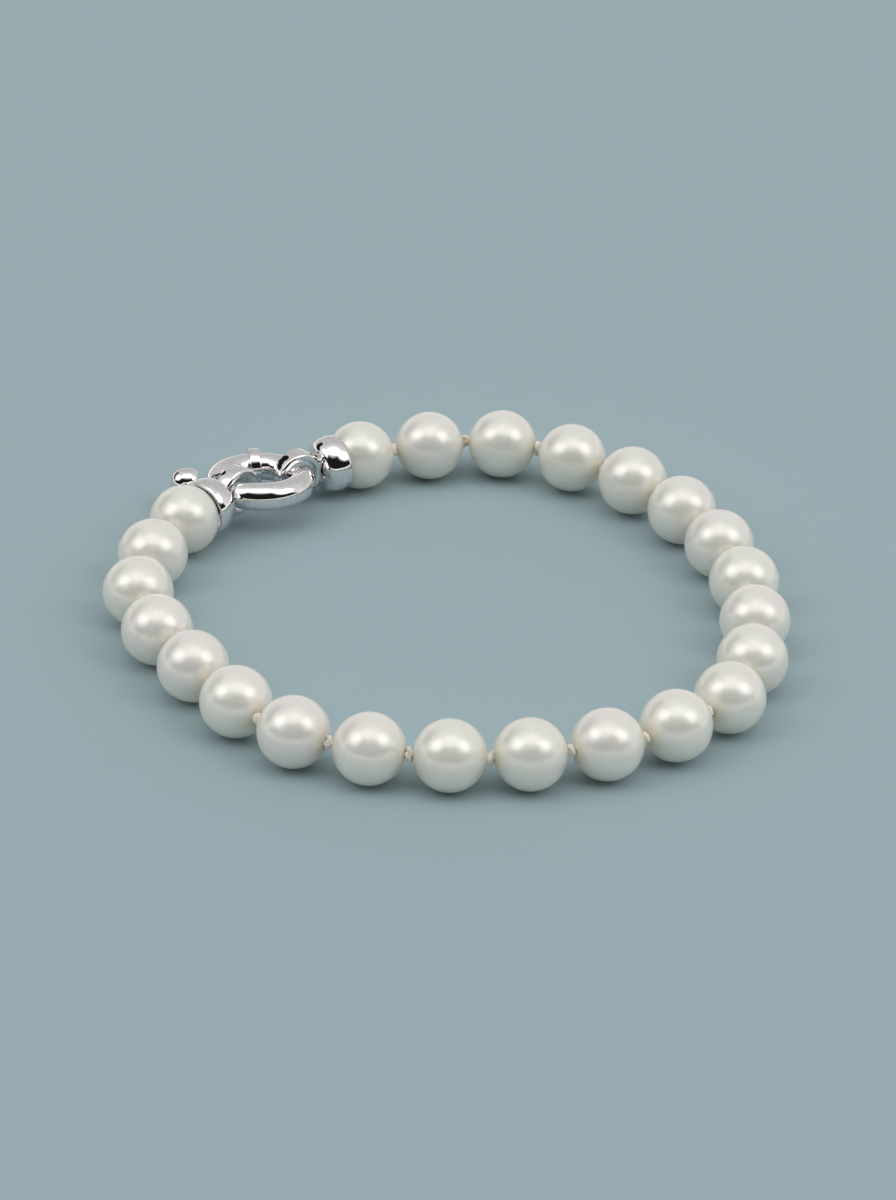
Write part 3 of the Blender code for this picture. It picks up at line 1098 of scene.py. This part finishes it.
    def ring(self) -> Object:
        """Makes the hollow ring with its gap, its collar and the trigger's slot.

        Returns:
            The finished ring in its place.
        """
        sweep = TURN + self.mouth - self.lip
        ring = self.spun("clasp_ring", self.tube_radius, self.lip, sweep, self.tube_grid)
        apply_modifier(ring, "SOLIDIFY", thickness=self.tube_wall, offset=-1.0, use_rim=True)
        round_corners(ring, self.tube_round)
        half = self.collar_width / 2
        top = self.tube_radius + self.collar_height
        edge = self.collar_edge
        inner = self.tube_radius - self.tube_wall / 2
        upper = [(inner, half)] + arc((top - edge, half - edge), edge, 90, 0, 5)
        band = upper + [(r, -z) for r, z in reversed(upper)]
        collar = turned("collar", band, self.lathe_steps, closed=True)
        outward = radial(self.collar_angle)
        settle(collar, frame_at(outward * self.plan.ring_radius, UP, UP.cross(outward)))
        combine(ring, collar, "UNION")
        combine(ring, self.slot_cutter(), "DIFFERENCE")
        settle(ring, self.plan.ring)
        smooth(ring)
        return ring

    def slot_cutter(self) -> Object:
        """Makes the curved bar that cuts the trigger's slot out through the mouth.

        Returns:
            The bar in the ring's own frame.
        """
        half = self.neck_radius + self.slot_gap
        margin = half / (self.plan.ring_radius + self.tube_radius - self.tube_wall)
        start = self.knob_angle - self.bolt_stroke - margin
        sweep = self.mouth + margin - start
        inner = self.plan.ring_radius + self.bolt_radius / 2
        outer = self.plan.ring_radius + 2 * self.tube_radius
        bpy.ops.mesh.primitive_plane_add(size=1, rotation=(QUARTER, 0, 0))
        bar = bpy.context.object
        bar.scale = (outer - inner, 2 * half, 1)
        out = Matrix.Translation(((inner + outer) / 2, 0, 0))
        settle(bar, Matrix.Rotation(start, 4, "Z") @ out)
        with editing(bar):
            bpy.ops.mesh.spin(steps=self.slot_steps, angle=-sweep, center=(0, 0, 0), axis=(0, 0, 1))
            tidy_surface()
            bpy.ops.mesh.select_all(action="DESELECT")
            bpy.ops.mesh.select_non_manifold()
            bpy.ops.mesh.edge_face_add()
            tidy_surface()
        return bar

    def trigger(self) -> Object:
        """Makes the curved bolt with its neck and knob.

        Returns:
            The finished trigger in its place.
        """
        tip = self.lip + self.bolt_entry
        tail = self.knob_angle - self.bolt_tail
        bolt = self.spun("bolt_and_knob", self.bolt_radius, tail, tip - tail, self.bolt_grid)
        with editing(bolt):
            for out in (radial(tail), radial(tip)):
                past = UP.cross(out)
                pick(bolt, lambda spot: abs(spot.dot(past)) < MERGE and spot.dot(out) > 0)
                bpy.ops.mesh.edge_face_add()
            tidy_surface()
        round_corners(bolt, self.bolt_round)
        outward = radial(self.knob_angle)
        base = self.plan.ring_radius + self.tube_radius + self.knob_gap
        knob_rows = [  # share of the knob's length from its disc, share of its radius
            (0.0, 0.0),
            (0.0, 0.70),
            (0.025, 0.78),
            (0.10, 0.885),
            (0.22, 0.975),
            (0.40, 1.0),
            (0.62, 0.95),
            (0.80, 0.82),
            (0.92, 0.60),
            (0.985, 0.32),
            (1.0, 0.0),
        ]
        outline = [(self.knob_radius * share, base + self.knob_length * along)
                   for along, share in knob_rows]
        knob = turned("knob", outline[:1] + flowing(outline[1:], 6), self.knob_steps)
        settle(knob, frame_at(Vector(), UP, outward))
        root, end = self.plan.ring_radius, base + self.knob_length / 3
        neck = turned("neck", [
            (0.0, root),
            (self.neck_radius, root),
            (self.neck_radius, end),
            (0.0, end),
        ], self.neck_steps)
        settle(neck, frame_at(Vector(), UP, outward))
        combine(bolt, neck, "UNION")
        combine(bolt, knob, "UNION")
        settle(bolt, self.plan.ring)
        smooth(bolt)
        return bolt


# Studio


@dataclass(frozen=True)
class Lamp:
    """A lamp behind the tent's white cloth, or a black card in front of it (strength below 0).

    Angles are in degrees: the azimuth from the front, to the right, and the elevation from the
    table. The glow is full within the core and fades to nothing at the reach.
    """

    azimuth: float
    elevation: float
    core: float
    reach: float
    strength: float

    def direction(self) -> Vector:
        """Gives the way to the glow's middle."""
        up = math.radians(self.elevation)
        return radial(math.radians(self.azimuth) - QUARTER) * math.cos(up) + UP * math.sin(up)


@dataclass
class LightTent:
    """A tent of white cloth round the table, open in front, where the dark room shows."""

    dark: float = 0.012                # the room's glow
    low: float = 0.92                  # the cloth's glow by the table
    high: float = 0.82                 # and at the top
    rise: Point2 = (0.0, 0.45)         # heights between which that changes
    back: float = 0.66                 # share of the glow that is left at the back
    back_span: Point2 = (-0.25, 0.75)  # depths between which that changes
    lip_span: Point2 = (0.06, 0.10)    # heights where the bright strip by the table ends
    lip_glow: float = 1.35
    opening: float = 58.0              # degrees
    narrowing: float = 0.07            # how much lower it ends at the sides
    hem: Point2 = (0.0, 0.13)          # the opening's soft edge
    lamps: tuple[Lamp, ...] = (
        Lamp(-67, 44, 5, 24, 1.8),
        Lamp(67, 44, 5, 24, 1.8),
        Lamp(0, 76, 6, 32, 0.75),
        Lamp(-107, 13, 8, 13, -0.80),
        Lamp(-118, 24, 8, 13, -0.80),
        Lamp(-130, 35, 8, 13, -0.80),
    )

    def build(self) -> None:
        """Makes the tent as the world's own glow."""
        world = bpy.data.worlds.new("light_tent")
        world.use_nodes = True
        tree = world.node_tree
        way = add_node(tree, "ShaderNodeTexCoord").outputs["Generated"]
        parts = add_node(tree, "ShaderNodeSeparateXYZ", links={"Vector": way})
        up = math.radians(self.opening)
        ahead = self.facing(tree, way, Vector((0, math.sin(up), math.cos(up))))
        aside = maths(tree, "ABSOLUTE", parts.outputs["X"])
        edge = maths(tree, "MULTIPLY_ADD", aside, self.narrowing, ahead)
        hung = self.ramp(tree, edge, self.hem, (0.0, 1.0))
        cloth = self.ramp(tree, parts.outputs["Z"], self.rise, (self.low, self.high))
        behind = self.ramp(tree, parts.outputs["Y"], self.back_span, (1.0, self.back))
        lip = self.ramp(tree, parts.outputs["Z"], self.lip_span, (self.lip_glow, 0.0))
        glow = maths(tree, "MULTIPLY", maths(tree, "MULTIPLY", cloth, hung), behind)
        glow = maths(tree, "MAXIMUM", glow, lip)
        for lamp in self.lamps:
            limits = (math.cos(math.radians(lamp.reach)), math.cos(math.radians(lamp.core)))
            near = self.facing(tree, way, lamp.direction())
            glow = maths(tree, "ADD", glow, self.ramp(tree, near, limits, (0.0, lamp.strength)))
        glow = maths(tree, "MAXIMUM", glow, self.dark)
        tree.links.new(first_output(glow), tree.nodes["Background"].inputs["Strength"])
        tree.nodes["Background"].inputs["Color"].default_value = linear("#FFFFFF")
        bpy.context.scene.world = world

    def facing(self, tree: NodeTree, way: NodeSocket, middle: Vector) -> NodeSocket:
        """Measures how nearly each way points to a middle, 1 where it does.

        Args:
            tree: the node tree.
            way: the socket with the way.
            middle: the way to the middle.

        Returns:
            The measure's socket.
        """
        settings = {"operation": "DOT_PRODUCT", 1: middle}
        return add_node(tree, "ShaderNodeVectorMath", settings, {0: way}).outputs["Value"]

    def ramp(self, tree: NodeTree, value: Source, source: Point2, target: Point2) -> Node:
        """Adds a soft step from one value to another.

        Args:
            tree: the node tree.
            value: what it follows.
            source: where the step starts and ends.
            target: the results before and after it.

        Returns:
            The step's node.
        """
        return add_node(tree, "ShaderNodeMapRange", {
            "interpolation_type": "SMOOTHSTEP",
            "From Min": source[0],
            "From Max": source[1],
            "To Min": target[0],
            "To Max": target[1],
        }, {"Value": value})


@dataclass
class Studio:
    """The plain floor, the light tent and the camera."""

    floor_size: float = 6.0
    paper: StudioPaper = field(default_factory=StudioPaper)
    frame_height: int = 1200
    focal_pixels: float = 5138.0
    elevation: float = 0.53009
    roll: float = 0.04136
    distance: float = 0.50547
    aim: tuple[float, float, float] = (0.00014, -0.00189, 0.0035)
    tent: LightTent = field(default_factory=LightTent)

    def build(self) -> None:
        """Builds the floor, the lights and the camera."""
        bpy.context.scene.view_settings.view_transform = "Standard"
        self.lay_floor()
        self.tent.build()
        self.set_camera()

    def lay_floor(self) -> None:
        """Lays a plain pale floor under the bracelet."""
        bpy.ops.mesh.primitive_plane_add(size=self.floor_size)
        floor = bpy.context.object
        floor.name = "floor"
        floor.data.materials.append(self.paper.material())

    def set_camera(self) -> None:
        """Sets the camera at the photo's angle."""
        back = Vector((0, -math.cos(self.elevation), math.sin(self.elevation)))
        bpy.ops.object.camera_add()
        camera = bpy.context.object
        camera.matrix_world = (Matrix.Translation(Vector(self.aim) + back * self.distance)
                               @ Matrix.Rotation(QUARTER - self.elevation, 4, "X")
                               @ Matrix.Rotation(self.roll, 4, "Z"))
        lens = camera.data
        lens.sensor_fit = "VERTICAL"
        lens.sensor_height = 36.0
        lens.lens = lens.sensor_height * self.focal_pixels / self.frame_height
        lens.clip_start = 0.01
        bpy.context.scene.camera = camera


def main() -> None:
    """Builds the studio, the strand and the clasp in order."""
    logging.basicConfig(level=logging.INFO, format="%(name)s %(message)s")
    Studio().build()
    strand = PearlStrand()
    plan = ClaspPlan(strand.places[0], strand.places[-1])
    strand.aim(plan)
    strand.build()
    Clasp(plan).build()


if __name__ == "__main__":
    main()
